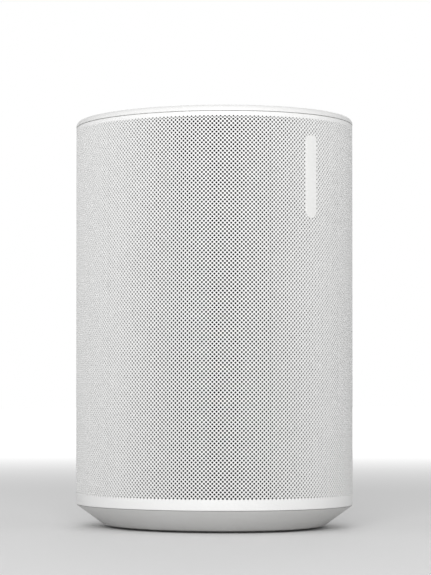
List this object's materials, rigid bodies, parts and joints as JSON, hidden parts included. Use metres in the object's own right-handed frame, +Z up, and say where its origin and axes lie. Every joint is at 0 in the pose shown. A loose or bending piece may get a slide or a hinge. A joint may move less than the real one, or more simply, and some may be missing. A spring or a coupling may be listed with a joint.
{
  "type": "smart speaker",
  "caption": "Free-standing oval smart speaker with a perforated shell, touch top with volume trough, tapered base, and a rear panel with ports and controls.",
  "frame": {"origin": "middle of the underside, on the surface the speaker stands on", "axes": "+Z up, the front with the badge faces -Y, +X to the right seen from the front"},
  "size_m": [0.12, 0.1306, 0.1825],
  "materials": {
    "shell_white": "moulded matt white, perforated",
    "cap_white": "smooth satin white",
    "badge_white": "plain satin plate",
    "base_white": "moulded matt white",
    "foot_rubber": "soft grey silicone",
    "panel_white": "fine moulded grain",
    "control_white": "smooth moulded",
    "inlet_black": "moulded nylon",
    "plated_metal": "nickel plated",
    "light_clear": "clear light guide",
    "foam_black": "closed-cell foam",
    "frame_black": "moulded, matt",
    "enclosure_black": "glass-filled plastic",
    "board_green": "solder mask",
    "part_black": "moulded component",
    "tin_can": "tinned steel",
    "aluminium_fins": "extruded, anodised",
    "ribbon_amber": "polyimide film",
    "basket_grey": "powder coat",
    "motor_steel": "zinc plated",
    "ferrite": "sintered ferrite",
    "copper_wire": "enamelled copper",
    "cone_black": "coated paper",
    "surround_black": "butyl rubber",
    "spider_cloth": "resin-set cotton",
    "dome_silk": "coated silk",
    "screw_steel": "black zinc"
  },
  "bodies": {
    "housing": {"grille_shell": "shell_white", "badge_plate": "badge_white", "top_cap": "cap_white", "touch_board": "board_green", "touch_foam": "foam_black", "microphones": "tin_can", "status_light_pipe": "light_clear", "top_frame": "frame_black", "touch_ribbon": "ribbon_amber", "base_housing": "base_white", "foot_ring": "foot_rubber", "base_screws": "screw_steel", "front_enclosure": "enclosure_black", "enclosure_gasket": "foam_black", "rear_enclosure": "enclosure_black", "enclosure_screws": "screw_steel", "woofer_basket": "basket_grey", "woofer_gasket": "foam_black", "woofer_screws": "screw_steel", "woofer_top_plate": "motor_steel", "woofer_magnet": "ferrite", "woofer_yoke": "motor_steel", "woofer_surround": "surround_black", "woofer_spider": "spider_cloth", "tweeter_cups": "motor_steel", "tweeter_magnets": "motor_steel", "tweeter_screws": "screw_steel", "main_board": "board_green", "power_board": "board_green", "board_screws": "screw_steel", "shield_cans": "tin_can", "heat_sink": "aluminium_fins", "power_transformer": "part_black", "power_capacitors": "part_black", "mains_filter_choke": "copper_wire", "antennas": "board_green", "rear_panel": "panel_white", "mains_inlet": "inlet_black", "mains_inlet_pins": "plated_metal", "port_board": "board_green", "pairing_switch_body": "part_black", "mic_switch_body": "tin_can", "usb_c_socket": "plated_metal", "left_tweeter_faceplate": "frame_black", "left_tweeter_surround": "surround_black", "right_tweeter_faceplate": "frame_black", "right_tweeter_surround": "surround_black"},
    "pairing_button": {"pairing_button": "control_white", "pairing_switch_plunger": "part_black"},
    "mic_slider": {"mic_slider": "control_white", "mic_switch_lever": "part_black"},
    "woofer_cone": {"woofer_cone": "cone_black", "woofer_dust_cap": "cone_black", "woofer_coil_former": "ribbon_amber", "woofer_coil_winding": "copper_wire"},
    "left_tweeter_dome": {"left_tweeter_dome": "dome_silk", "left_tweeter_coil": "copper_wire"},
    "right_tweeter_dome": {"right_tweeter_dome": "dome_silk", "right_tweeter_coil": "copper_wire"}
  },
  "joints": [
    {"name": "pairing_button_press", "type": "slide", "parent": "housing", "child": "pairing_button", "axis": [0, -1, 0], "range_m": [0, 0.0008], "stiffness_N_per_m": 400},
    {"name": "mic_switch_slide", "type": "slide", "parent": "housing", "child": "mic_slider", "axis": [1, 0, 0], "range_m": [0, 0.003]},
    {"name": "woofer_cone_travel", "type": "slide", "parent": "housing", "child": "woofer_cone", "axis": [0, -1, 0], "range_m": [-0.004, 0.004], "stiffness_N_per_m": 1400, "deforming": ["woofer_surround", "woofer_spider"]},
    {"name": "left_tweeter_travel", "type": "slide", "parent": "housing", "child": "left_tweeter_dome", "axis": [-0.766, -0.6428, 0], "range_m": [-0.0003, 0.0003], "stiffness_N_per_m": 800, "deforming": ["left_tweeter_surround"]},
    {"name": "right_tweeter_travel", "type": "slide", "parent": "housing", "child": "right_tweeter_dome", "axis": [0.766, -0.6428, 0], "range_m": [-0.0003, 0.0003], "stiffness_N_per_m": 800, "deforming": ["right_tweeter_surround"]}
  ]
}
